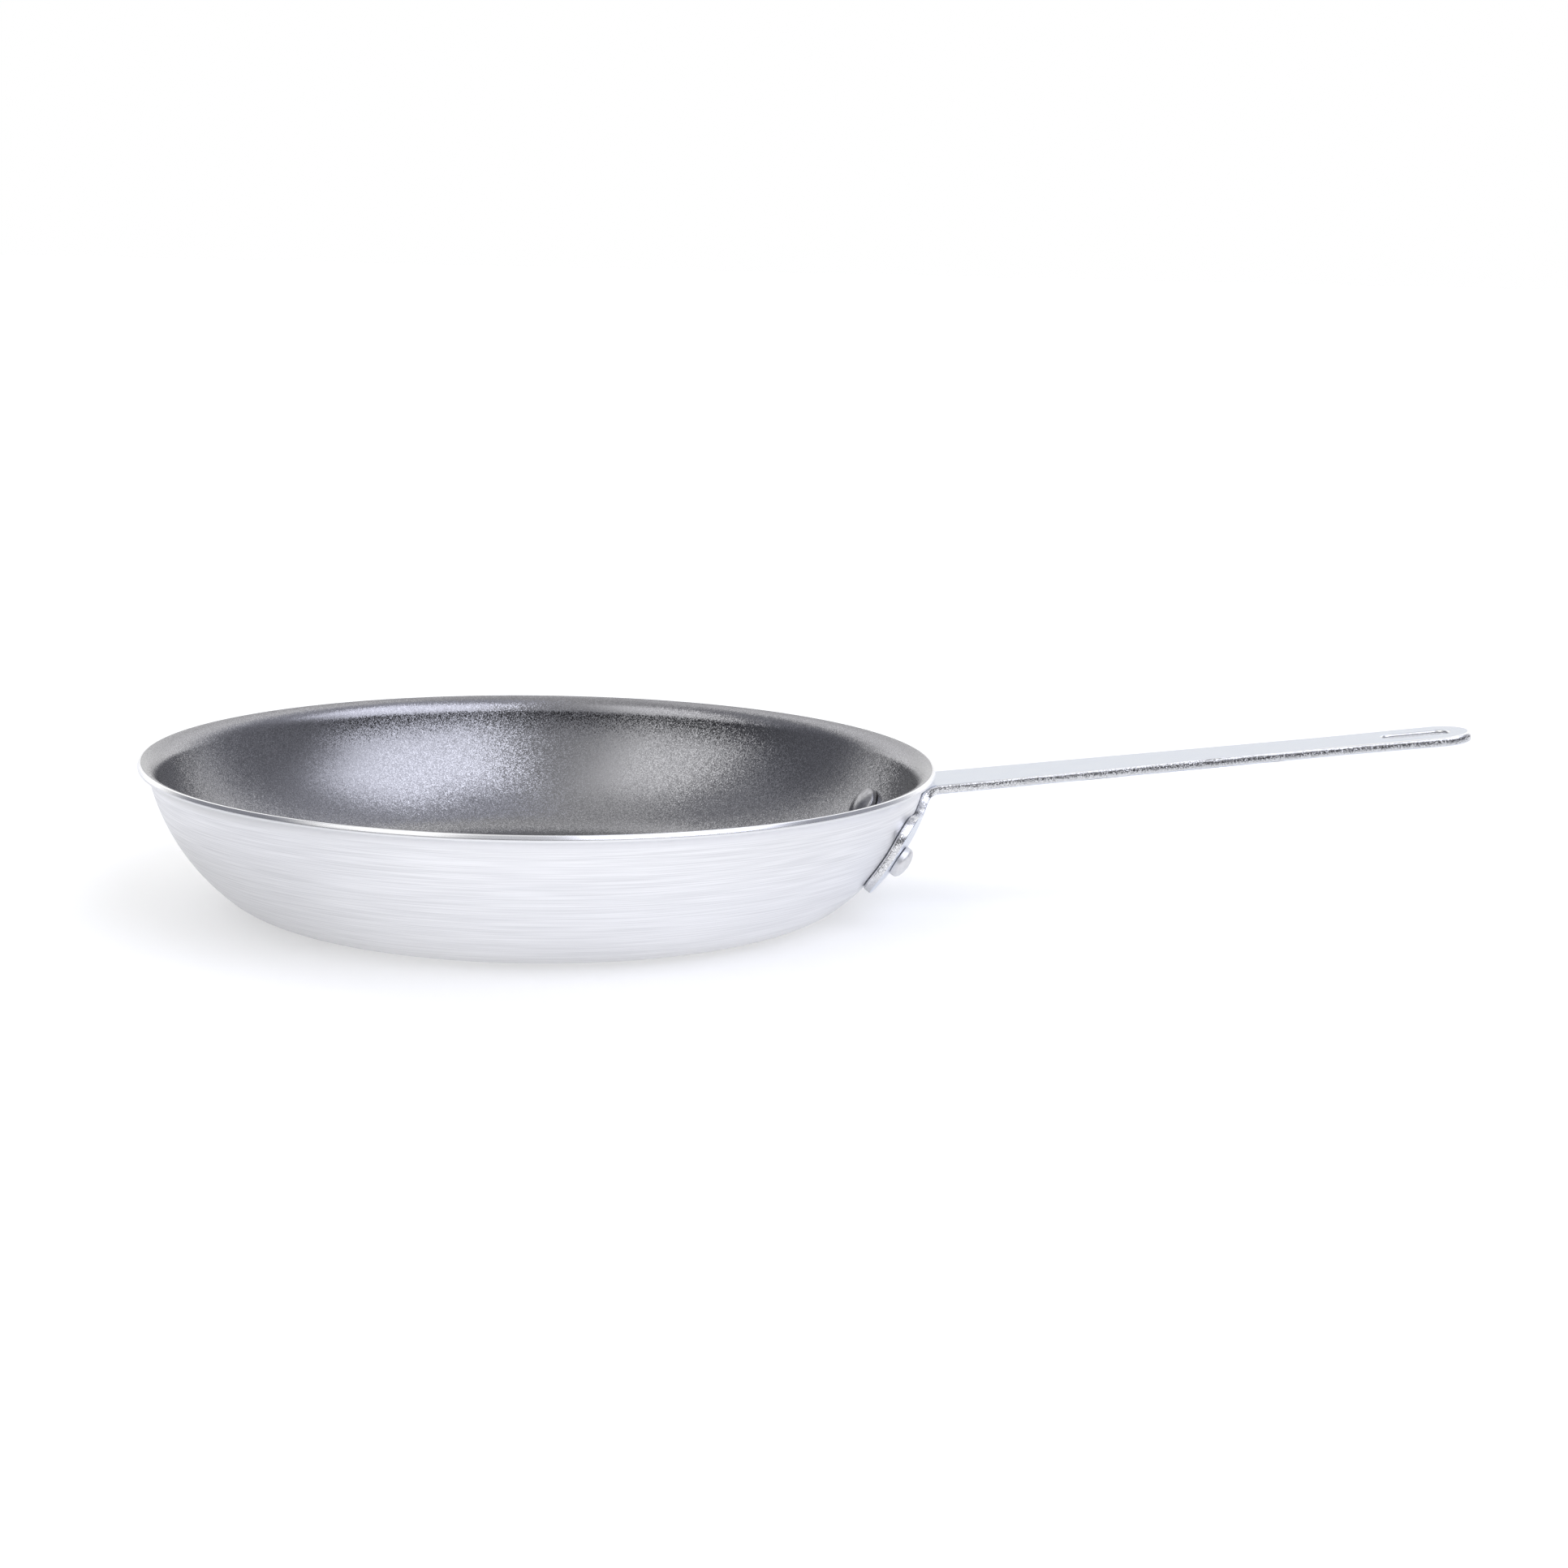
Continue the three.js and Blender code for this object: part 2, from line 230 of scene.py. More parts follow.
# The wall's radius closes the height, and the base takes up what the curves leave of the rim's radius
rim_radius = RIM_DIAMETER / 2
lip_top_radius = LIP_RADIUS + SHEET
corner_rise = CORNER_RADIUS * (1 - cos(CORNER_SLOPE))
lip_rise = lip_top_radius * cos(LIP_SLOPE) - LIP_RADIUS * cos(WALL_SLOPE)
wall_radius = (PAN_HEIGHT - corner_rise - lip_rise) / (cos(CORNER_SLOPE) - cos(WALL_SLOPE))
corner_run = CORNER_RADIUS * sin(CORNER_SLOPE)
wall_run = wall_radius * (sin(WALL_SLOPE) - sin(CORNER_SLOPE))
lip_run = LIP_RADIUS * sin(WALL_SLOPE) - lip_top_radius * sin(LIP_SLOPE)
base_radius = rim_radius - corner_run - wall_run - lip_run
corner_centre = Vector((base_radius, CORNER_RADIUS))
wall_centre = on_arc(corner_centre, CORNER_RADIUS - wall_radius, CORNER_SLOPE)
lip_centre = on_arc(wall_centre, wall_radius + LIP_RADIUS, WALL_SLOPE)

rivet_height = PAN_HEIGHT - RIVET_DROP
rivet_slope = acos((wall_centre.y - rivet_height) / wall_radius)
rivet_radius = on_arc(wall_centre, wall_radius, rivet_slope).x
rivet_turn = asin(RIVET_SPACING / 2 / rivet_radius)


def wall_face(depth):
    """The pan's face at a depth below its outside, from the base's edge to the start of the lip."""
    return [
        *arc(corner_centre, CORNER_RADIUS - depth, 0, CORNER_SLOPE, CORNER_STEPS),
        *arc(wall_centre, wall_radius - depth, CORNER_SLOPE, WALL_SLOPE, WALL_STEPS)[1:],
    ]


def lip_underside(end):
    """The lip's underside, from the wall out to the given slope."""
    return arc(lip_centre, -LIP_RADIUS, WALL_SLOPE, end, LIP_STEPS)[1:]


def lip_inside(depth, end):
    """The lip's inner face at a depth below its underside: an arc with a short straight run at each end."""
    half_turn = (WALL_SLOPE - end) / 2
    centre = on_arc(lip_centre, -LIP_TIGHTENING / cos(half_turn), end + half_turn)
    curve = arc(centre, LIP_TIGHTENING - LIP_RADIUS - depth, WALL_SLOPE, end, LIP_STEPS)
    return [*curve, on_arc(lip_centre, -LIP_RADIUS - depth, end)]


# The lip's cut edge is a line from the lip's lower corner, and each of its arrises is an arc that touches
# that line and one face of the lip
edge_slope = LIP_SLOPE + pi / 2 + LIP_EDGE_LEAN
edge_along = Vector((cos(edge_slope), sin(edge_slope)))
edge_outward = Vector((sin(edge_slope), -cos(edge_slope)))


def arris(radius, distance):
    """An arris's centre, at a distance from the lip's own centre, and the slope where it meets the face."""
    outward = LIP_RADIUS * sin(LIP_EDGE_LEAN) - radius
    offset = outward * edge_outward + sqrt(distance**2 - outward**2) * edge_along
    return lip_centre + offset, atan2(-offset.x, offset.y)


low_arris, low_slope = arris(LIP_LOW_ARRIS, LIP_RADIUS + LIP_LOW_ARRIS)
high_arris, high_slope = arris(LIP_ARRIS, lip_top_radius - LIP_ARRIS)


# Mesh helpers

def new_piece(name, mesh, material):
    """An object in the scene with a smooth mesh of one material."""
    piece = bpy.data.objects.new(name, mesh)
    bpy.context.scene.collection.objects.link(piece)
    mesh.materials.append(material)
    mesh.shade_smooth()
    return piece


def store(mesh, name, values):
    """Keeps one number for each vertex under a name that a material can read."""
    attribute = mesh.attributes.new(name, "FLOAT", "POINT")
    attribute.data.foreach_set("value", values)


def revolve(name, profile, segments, **marks):
    """Turns a profile that starts and ends on the axis. Each mark holds one number for each point."""
    vertices, rings = [], []
    for point in profile:
        count = segments if point.x > NEAR else 1
        rings.append(range(len(vertices), len(vertices) + count))
        for k in range(count):
            angle = 2 * pi * k / segments
            vertices.append((point.x * cos(angle), point.x * sin(angle), point.y))
    faces = []
    for low, high in zip(rings, rings[1:]):
        for k in range(segments):
            after = (k + 1) % segments
            sides = [(low, k), (low, after), (high, after), (high, k)]
            faces.append(list(dict.fromkeys(ring[step % len(ring)] for ring, step in sides)))
    mesh = bpy.data.meshes.new(name)
    mesh.from_pydata(vertices, [], faces)
    for mark, values in marks.items():
        store(mesh, mark, [value for value, ring in zip(values, rings) for _ in ring])
    return mesh


def lengths_along(points):
    """How far each point lies along the line that the points make."""
    lengths = [0]
    for before, after in zip(points, points[1:]):
        lengths.append(lengths[-1] + (after - before).length)
    return lengths


# Material helpers

def new_material(name):
    material = bpy.data.materials.new(name)
    material.use_nodes = True
    tree = material.node_tree
    return material, tree, tree.nodes["Principled BSDF"]


def connect(tree, node, inputs):
    """Sets a node's inputs by name or number, each to a value or to another node's output."""
    for key, value in inputs.items():
        if isinstance(value, bpy.types.NodeSocket):
            tree.links.new(value, node.inputs[key])
        else:
            node.inputs[key].default_value = value


def add_node(tree, kind, inputs=None, **settings):
    node = tree.nodes.new("ShaderNode" + kind)
    for key, value in settings.items():
        setattr(node, key, value)
    connect(tree, node, inputs or {})
    return node


def attribute(tree, name):
    return add_node(tree, "Attribute", attribute_name=name).outputs["Fac"]


def place(tree):
    """The point's place in the part's frame, in metres."""
    return add_node(tree, "TexCoord").outputs["Object"]


def math_node(tree, operation, *values):
    return add_node(tree, "Math", dict(enumerate(values)), operation=operation).outputs[0]


def vector_node(tree, operation, *values):
    return add_node(tree, "VectorMath", dict(enumerate(values)), operation=operation).outputs[0]


def ramp(tree, value, low, high, start=0.0, end=1.0):
    """Runs smoothly from start to end as the value goes from low to high."""
    inputs = {"Value": value, "From Min": low, "From Max": high, "To Min": start, "To Max": end}
    return add_node(tree, "MapRange", inputs, interpolation_type="SMOOTHSTEP").outputs["Result"]


def mix_colour(tree, factor, first, second):
    node = add_node(tree, "Mix", data_type="RGBA")
    connect(tree, node, {0: factor, 6: first, 7: second})
    return node.outputs[2]


def mix_value(tree, factor, first, second):
    node = add_node(tree, "Mix", {0: factor, 2: first, 3: second}, data_type="FLOAT")
    return node.outputs[0]


def noise_value(tree, vector, scale, detail=2.0, roughness=0.5):
    inputs = {"Vector": vector, "Scale": scale, "Detail": detail, "Roughness": roughness}
    return add_node(tree, "TexNoise", inputs).outputs["Fac"]


def grains(tree, scale):
    """Random cells: one random colour for each cell."""
    return add_node(tree, "TexVoronoi", {"Vector": place(tree), "Scale": scale}).outputs["Color"]


def tilted_normal(tree, random_colour, amount):
    """The surface's normal, leaned at random by up to about the amount."""
    centred = vector_node(tree, "SUBTRACT", random_colour, (0.5, 0.5, 0.5))
    lean = add_node(tree, "VectorMath", {0: centred, "Scale": amount}, operation="SCALE").outputs[0]
    normal = add_node(tree, "NewGeometry").outputs["Normal"]
    return vector_node(tree, "NORMALIZE", vector_node(tree, "ADD", normal, lean))


# Materials

def brushed_aluminium():
    """Fine scratches run round the axis. The lip's underside is plain and its cut edge is polished."""
    material, tree, shader = new_material("brushed_aluminium")
    polish = attribute(tree, "polish")
    plain = attribute(tree, "plain")
    along = attribute(tree, "along")
    parts = add_node(tree, "SeparateXYZ", {0: place(tree)}).outputs

    def scratches(round_scale, along_scale, detail):
        vector = add_node(tree, "CombineXYZ", {
            0: math_node(tree, "MULTIPLY", parts[0], round_scale),
            1: math_node(tree, "MULTIPLY", parts[1], round_scale),
            2: math_node(tree, "MULTIPLY", along, along_scale),
        }).outputs[0]
        return noise_value(tree, vector, 1.0, detail)

    fine = mix_value(tree, MIDDLE_SHARE, scratches(*FINE_SCRATCHES, 0), scratches(*MIDDLE_SCRATCHES, 0))
    brushing = mix_value(tree, BROAD_SHARE, fine, scratches(*BROAD_SCRATCHES, 1))
    colour = mix_colour(tree, ramp(tree, brushing, *NOISE_RANGE), *BRUSHED_METAL)
    colour = mix_colour(tree, plain, colour, PLAIN_METAL)
    rough = ramp(tree, brushing, *NOISE_RANGE, 0.42, 0.3)
    bump = add_node(tree, "Bump", {
        "Height": brushing,
        "Strength": mix_value(tree, polish, 0.12, 0.0),
        "Distance": SCRATCH_DEPTH,
    })
    connect(tree, shader, {
        "Base Color": mix_colour(tree, polish, colour, POLISHED_METAL),
        "Metallic": 1.0,
        "Roughness": mix_value(tree, polish, rough, 0.2),
        "Anisotropic": 0.5,
        "Anisotropic Rotation": 0.25,
        "Tangent": add_node(tree, "Tangent", direction_type="RADIAL", axis="Z").outputs[0],
        "Normal": bump.outputs[0],
    })
    return material


def speckled_lining():
    """A grey coating full of small metal flakes that lie at slightly different angles."""
    material, tree, shader = new_material("speckled_lining")
    flakes = grains(tree, FLAKES)
    channel = add_node(tree, "SeparateColor", {0: flakes}).outputs
    bright = math_node(tree, "POWER", channel[0], 2)
    smooth = math_node(tree, "MULTIPLY", attribute(tree, "lip"), SMOOTHING_OF_LIP)
    connect(tree, shader, {
        "Base Color": mix_colour(tree, smooth, mix_colour(tree, bright, *COATING), COATING_ON_LIP),
        "Metallic": 0.96,
        "Coat Weight": 0.35,
        "Coat Roughness": 0.35,
        "Roughness": mix_value(tree, smooth, mix_value(tree, channel[1], 0.13, 0.19), 0.08),
        "Normal": tilted_normal(tree, flakes, mix_value(tree, smooth, FLAKE_LEAN, FLAKE_LEAN_ON_LIP)),
    })
    return material


def plated_steel():
    """Smooth plating on the faces. The sheared edges are rough, with a dark torn band along the bar that is
    partly painted shade. A painted highlight runs along the bar's upper arris, and painted shade darkens
    the foot's edge towards its bottom.
    """
    material, tree, shader = new_material("plated_steel")
    across = attribute(tree, "across")
    bar = attribute(tree, "bar")
    slot = attribute(tree, "slot")

    def band(level, start, end):
        """One between two borders on the strap's side."""
        return math_node(tree, "MULTIPLY", ramp(tree, level, *start), ramp(tree, level, *end))

    waves = noise_value(tree, place(tree), TORN_WAVES, 2)
    wavy = math_node(tree, "ADD", across, math_node(tree, "MULTIPLY_ADD", waves, 0.2, -0.1))
    torn = band(wavy, TORN_START, TORN_END)
    side = band(across, SIDE_START, SIDE_END)
    # Painted highlight on the upper arris, fading in along the bar
    arris = math_node(tree, "MULTIPLY", band(across, HIGHLIGHT_START, HIGHLIGHT_END), ramp(tree, bar, 0.0, 0.6))
    crystals = grains(tree, CRYSTALS)
    random = add_node(tree, "SeparateColor", {0: crystals}).outputs[0]
    cloud = noise_value(tree, place(tree), PLATING_CLOUDS, 4)
    height = add_node(tree, "SeparateXYZ", {0: place(tree)}).outputs[2]
    # Painted shade, from the rivets' height down to the foot's bottom edge
    foot_bottom_shade = ramp(tree, height, rivet_height, rivet_height - RIVET_TO_BOTTOM)
    sheared = mix_colour(tree, foot_bottom_shade, mix_colour(tree, random, *SHEARED_FOOT), SHADED_FOOT_BOTTOM)
    sheared = mix_colour(tree, slot, sheared, SHEARED_SLOT)
    sheared = mix_colour(tree, bar, sheared, SHEARED_BAR)
    colour = mix_colour(tree, side, mix_colour(tree, cloud, *PLATING), sheared)
    # Paints that highlight onto the arris
    colour = mix_colour(tree, arris, colour, PAINTED_ARRIS_HIGHLIGHT)
    # Painted shade together with the torn grain, for the dark band along the bar's edge
    dark = mix_colour(tree, ramp(tree, random, 0.35, 0.95), *TORN_BAND_AND_SHADE)
    smooth_rough = ramp(tree, cloud, *NOISE_RANGE, 0.18, 0.26)
    side_rough = mix_value(tree, bar, 0.22, 0.26)
    tilt = math_node(tree, "MULTIPLY", side, 0.14)
    tilt = math_node(tree, "MULTIPLY_ADD", torn, mix_value(tree, bar, 0.1, 0.3), tilt)
    tilt = math_node(tree, "MULTIPLY", tilt, mix_value(tree, slot, 1.0, 0.3))
    connect(tree, shader, {
        "Base Color": mix_colour(tree, math_node(tree, "MULTIPLY", torn, bar), colour, dark),
        "Metallic": 1.0,
        "Roughness": mix_value(tree, side, smooth_rough, side_rough),
        "Normal": tilted_normal(tree, crystals, tilt),
    })
    return material


def rivet_aluminium():
    """Matte where it was hammered outside, smoother on the head inside the pan, whose colour is darkened
    with painted shade.
    """
    material, tree, shader = new_material("rivet_aluminium")
    inside = attribute(tree, "inside")
    cloud = noise_value(tree, place(tree), RIVET_CLOUDS, 4)
    pits = noise_value(tree, place(tree), RIVET_PITS, 2)
    bump = add_node(tree, "Bump", {
        "Height": mix_value(tree, 0.5, cloud, pits),
        "Strength": 0.5,
        "Distance": PIT_DEPTH,
    })
    outer = mix_colour(tree, cloud, *HAMMERED_HEAD)
    # Painted shade on the head inside the pan
    inner = mix_colour(tree, cloud, *SHADED_INNER_HEAD)
    connect(tree, shader, {
        "Base Color": mix_colour(tree, inside, outer, inner),
        "Metallic": 1.0,
        "Roughness": mix_value(tree, inside, ramp(tree, pits, *NOISE_RANGE, 0.52, 0.42), 0.2),
        "Normal": bump.outputs[0],
    })
    return material


# Pan body
def pan_body():
    """The lip's underside fades from brushed to plain. Its cut edge is polished above the lower arris."""
    outside = [Vector((0, 0)), *wall_face(0)]
    underside = lip_underside(low_slope)
    edge = [
        *arc(low_arris, LIP_LOW_ARRIS, low_slope, edge_slope, ARRIS_STEPS)[1:],
        *arc(high_arris, LIP_ARRIS, edge_slope, high_slope + pi, ARRIS_STEPS),
    ]
    inside = [Vector((0, SHEET)), *wall_face(SHEET), *lip_inside(SHEET, high_slope)[:-1]]
    profile = [*outside, *underside, *edge, *reversed(inside)]
    plain_count = LIP_STEPS + ARRIS_STEPS - 1
    polished_count = len(underside) + len(edge) - plain_count
    fading = [min(1.0, 2 * (i + 1) / LIP_STEPS) for i in range(plain_count)]
    plain = [0.0] * len(outside) + fading + [0.0] * (polished_count + len(inside))
    polish = [0.0] * (len(outside) + plain_count) + [1.0] * polished_count + [0.0] * len(inside)
    along = lengths_along(profile)
    mesh = revolve("pan_body", profile, PAN_SEGMENTS, along=along, plain=plain, polish=polish)
    piece = new_piece("body_shell", mesh, brushed_aluminium())
    piece.modifiers.new("weighted_normals", "WEIGHTED_NORMAL").keep_sharp = False
    return piece


# Non-stick lining
def lining():
    """A closed film whose two faces follow the inside of the body up to the edge of its lip."""
    back, face = [
        [Vector((0, depth)), *wall_face(depth), *lip_inside(depth, high_slope)]
        for depth in (SHEET + FILM_GAP, SHEET + FILM_GAP + FILM)
    ]
    lip_count = LIP_STEPS + 2
    lip = [0.0] * (len(face) - lip_count)
    lip += [min(1.0, 0.4 + i / LIP_STEPS) for i in range(lip_count)]
    mesh = revolve("lining", [*back, *reversed(face)], PAN_SEGMENTS, lip=[*lip, *reversed(lip)])
    return new_piece("lining_film", mesh, speckled_lining())


# Handle: it is drawn flat, with x along its top face from the rivets and y across, and then formed
foot_arc = wall_radius + FOOT_GAP
bend_top_radius = BEND_RADIUS + STRAP
bar_start = Vector((rim_radius, PAN_HEIGHT - BAR_DROP))
bar_along = Vector((cos(BAR_RISE), sin(BAR_RISE)))
bar_normal = Vector((-sin(BAR_RISE), cos(BAR_RISE)))
bend_depth = bar_normal.dot(wall_centre - bar_start) + bend_top_radius
bend_slope = BAR_RISE + acos(bend_depth / (foot_arc + bend_top_radius))
bend_centre = on_arc(wall_centre, foot_arc + bend_top_radius, bend_slope)
bend_x = (bend_slope - rivet_slope) * foot_arc
bar_x = bend_x + (bend_slope - BAR_RISE) * bend_top_radius
bend_end = on_arc(bend_centre, -bend_top_radius, BAR_RISE)
root_x = bar_x - (bend_end - bar_start).dot(bar_along)
tip_x = root_x + BAR_LENGTH
# The foot is drawn square to the wall at the rivets, so its middle lies this much lower along the wall
foot_sink = rivet_radius * (1 - cos(rivet_turn)) * cos(rivet_slope)


def rounded(corners):
    """An outline whose corners, given as x, y and radius, are rounded by arcs."""
    points = []
    for i, (x, y, radius) in enumerate(corners):
        corner = Vector((x, y))
        if not radius:
            points.append(corner)
            continue
        back = (Vector(corners[i - 1][:2]) - corner).normalized()
        ahead = (Vector(corners[(i + 1) % len(corners)][:2]) - corner).normalized()
        half_angle = acos(back.dot(ahead)) / 2
        centre = corner + (back + ahead).normalized() * radius / sin(half_angle)
        start = corner + back * radius / tan(half_angle) - centre
        turn = back.angle_signed(ahead)
        sweep = (pi - abs(turn)) * (1 if turn > 0 else -1)
        steps = range(OUTLINE_STEPS + 1)
        points += [centre + Matrix.Rotation(sweep * k / OUTLINE_STEPS, 2) @ start for k in steps]
    return points


def bezier(a, b, c, d):
    """Points of a curve from a to d with the handles b and c, without its start."""
    points = []
    for k in range(1, OUTLINE_STEPS + 1):
        t = k / OUTLINE_STEPS
        u = 1 - t
        points.append(u**3 * a + 3 * u * u * t * b + 3 * u * t * t * c + t**3 * d)
    return points


def bar_side():
    """The bar's outline on the side of positive y, from its root to the middle of the tip."""
    root, waist, end = ROOT_WIDTH / 2, WAIST_WIDTH / 2, END_WIDTH / 2
    waist_x = tip_x - WAIST_TO_TIP
    end_x = tip_x - end
    mid_x = (waist_x + end_x) / 2
    third = (waist_x - root_x) / 3
    taper = (2 * root + waist) / 3
    start = Vector((root_x, root))
    narrow = Vector((waist_x, waist))
    wide = Vector((end_x, end))
    quarter = [pi / 2 * k / OUTLINE_STEPS for k in range(1, OUTLINE_STEPS + 1)]
    return [
        start,
        *bezier(start, Vector((root_x + third, taper)), Vector((waist_x - third, waist)), narrow),
        *bezier(narrow, Vector((mid_x, waist)), Vector((mid_x, end)), wide),
        *[Vector((end_x + end * sin(a), end * cos(a))) for a in quarter],
    ]


def strap_outline():
    """The whole outline of the flat strap, from the foot's corner on one side round to the other."""
    side = RIVET_SPACING / 2 + RIVET_TO_SIDE
    neck = ROOT_WIDTH / 2
    low = -RIVET_TO_BOTTOM - foot_sink
    high = RIVET_TO_TOP - foot_sink
    half = rounded([
        (low, 0, 0),
        (low, side, FOOT_CORNER),
        (high, side, FOOT_SHOULDER),
        (high, neck, FOOT_FILLET),
        (root_x, neck, 0),
    ])[1:-1] + bar_side()
    mirrored = [Vector((point.x, -point.y)) for point in reversed(half[:-1])]
    return half + mirrored


def slot_outline():
    """The hanging slot: two half circles joined by straight sides."""
    radius = SLOT_WIDTH / 2
    outer_x = tip_x - SLOT_MARGIN - radius
    inner_x = outer_x - SLOT_LENGTH + SLOT_WIDTH
    points = []
    for middle, first in ((outer_x, -pi / 2), (inner_x, pi / 2)):
        for k in range(2 * OUTLINE_STEPS + 1):
            angle = first + pi * k / (2 * OUTLINE_STEPS)
            points.append(Vector((middle + radius * cos(angle), radius * sin(angle))))
    return points


def flat_strap():
    """The flat blank with rounded arrises, as a mesh whose z runs from the under face to the top face."""
    curve = bpy.data.curves.new("strap", "CURVE")
    curve.dimensions = "2D"
    curve.fill_mode = "BOTH"
    curve.extrude = STRAP / 2 - STRAP_ARRIS
    curve.bevel_depth = STRAP_ARRIS
    curve.bevel_resolution = BEVEL_STEPS
    curve.offset = -STRAP_ARRIS
    for outline in (strap_outline(), slot_outline()):
        spline = curve.splines.new("POLY")
        spline.points.add(len(outline) - 1)
        spline.points.foreach_set("co", [c for p in outline for c in (p.x, p.y, 0, 1)])
        spline.use_cyclic_u = True
    blank = bpy.data.objects.new("strap", curve)
    bpy.context.scene.collection.objects.link(blank)
    depsgraph = bpy.context.evaluated_depsgraph_get()
    mesh = bpy.data.meshes.new_from_object(blank.evaluated_get(depsgraph))
    bpy.data.objects.remove(blank)
    bpy.data.curves.remove(curve)
    return mesh


def cut_lines():
    """The places along and across the blank where it is cut into a grid that can be formed."""
    low = -RIVET_TO_BOTTOM - foot_sink
    along = []
    x = low + FOOT_STEP / 2
    while x < tip_x:
        along.append(x)
        x += FOOT_STEP if x < bend_x else BEND_STEP if x < bar_x else BAR_STEP
    side = RIVET_SPACING / 2 + RIVET_TO_SIDE
    count = int(side / FOOT_STEP)
    across = [FOOT_STEP * k for k in range(-count, count + 1)]
    return along, across


def strap_profile(x, depth):
    """Radius, height and slope of the formed strap at a length along its top face and a depth below it."""
    if x < bend_x:
        slope = rivet_slope + x / foot_arc
        return *on_arc(wall_centre, foot_arc + depth, slope), slope
    if x < bar_x:
        slope = bend_slope - (x - bend_x) / bend_top_radius
        return *on_arc(bend_centre, depth - bend_top_radius, slope), slope
    point = on_arc(bend_centre, depth - bend_top_radius, BAR_RISE) + bar_along * (x - bar_x)
    return *point, BAR_RISE


def formed(x, y, depth):
    """Where a point of the flat blank goes: the strap follows the wall's turn about the pan's axis."""
    radius, _, slope = strap_profile(x, 0)
    if x < bend_x:
        radius = rivet_radius
    lean = rivet_slope if x < bend_x else min(slope, rivet_slope)
    shifted = x + (radius - sqrt(radius**2 - y**2)) * cos(lean)
    radius, height, _ = strap_profile(shifted, depth)
    return Vector((sqrt(radius**2 - y**2), y, height))


def beside_slot(x, y):
    """One on the slot's walls and arrises, and nothing elsewhere."""
    inside = abs(y) < SLOT_WIDTH / 2 + STRAP_ARRIS
    return int(inside and tip_x - WAIST_TO_TIP < x < tip_x - SLOT_MARGIN / 2)


def bar_share(x, y):
    """Rises from nothing at the foot to one halfway along the bar, and is nothing round the slot."""
    return 0 if beside_slot(x, y) else min(1, max(0, (x - bend_x) / (BAR_LENGTH / 2)))


def shear_edges(blank):
    """Leans the torn band of the bar's edges and sharpens the lower arris all round the blank."""
    land = STRAP / 2 - STRAP_ARRIS
    torn = land - TORN_HEIGHT
    spare = STRAP_ARRIS - STRAP_LOW_ARRIS
    geometry = [*blank.verts, *blank.edges, *blank.faces]
    bmesh.ops.bisect_plane(blank, geom=geometry, plane_co=(0, 0, torn), plane_no=(0, 0, 1), dist=NEAR)
    blank.normal_update()
    for vertex in blank.verts:
        z = vertex.co.z
        outward = Vector((vertex.normal.x, vertex.normal.y, 0)).normalized()
        if z < -land - NEAR:
            sine = min(1, (-land - z) / STRAP_ARRIS)
            vertex.co += outward * spare * (1 - sqrt(1 - sine**2))
        if z < -land + NEAR:
            vertex.co.z -= spare * (1 - max(0, -land - z) / STRAP_ARRIS)
        share = min(1, max(0, (z - torn) / TORN_HEIGHT)) * bar_share(vertex.co.x, vertex.co.y)
        vertex.co -= outward * share * TORN_HEIGHT * tan(TORN_LEAN)


def handle():
    """The flat strap, cut into a grid and formed, with each vertex's place on it kept for the material."""
    mesh = flat_strap()
    blank = bmesh.new()
    blank.from_mesh(mesh)
    bmesh.ops.remove_doubles(blank, verts=blank.verts, dist=WELD)
    bmesh.ops.dissolve_limit(blank, angle_limit=radians(0.5), verts=blank.verts, edges=blank.edges)
    shear_edges(blank)
    along, across = cut_lines()
    cuts = [(Vector((x, 0, 0)), Vector((1, 0, 0))) for x in along]
    cuts += [(Vector((0, y, 0)), Vector((0, 1, 0))) for y in across]
    for point, normal in cuts:
        geometry = [*blank.verts, *blank.edges, *blank.faces]
        bmesh.ops.bisect_plane(blank, geom=geometry, plane_co=point, plane_no=normal, dist=NEAR)
    levels, bar, slot = [], [], []
    for vertex in blank.verts:
        x, y, z = vertex.co
        levels.append(z / STRAP + 0.5)
        bar.append(bar_share(x, y))
        slot.append(beside_slot(x, y))
        vertex.co = formed(x, y, STRAP / 2 - z)
    bmesh.ops.recalc_face_normals(blank, faces=blank.faces)
    blank.to_mesh(mesh)
    blank.free()
    store(mesh, "across", levels)
    store(mesh, "bar", bar)
    store(mesh, "slot", slot)
    piece = new_piece("strap_handle", mesh, plated_steel())
    piece.modifiers.new("weighted_normals", "WEIGHTED_NORMAL").keep_sharp = False
    return piece


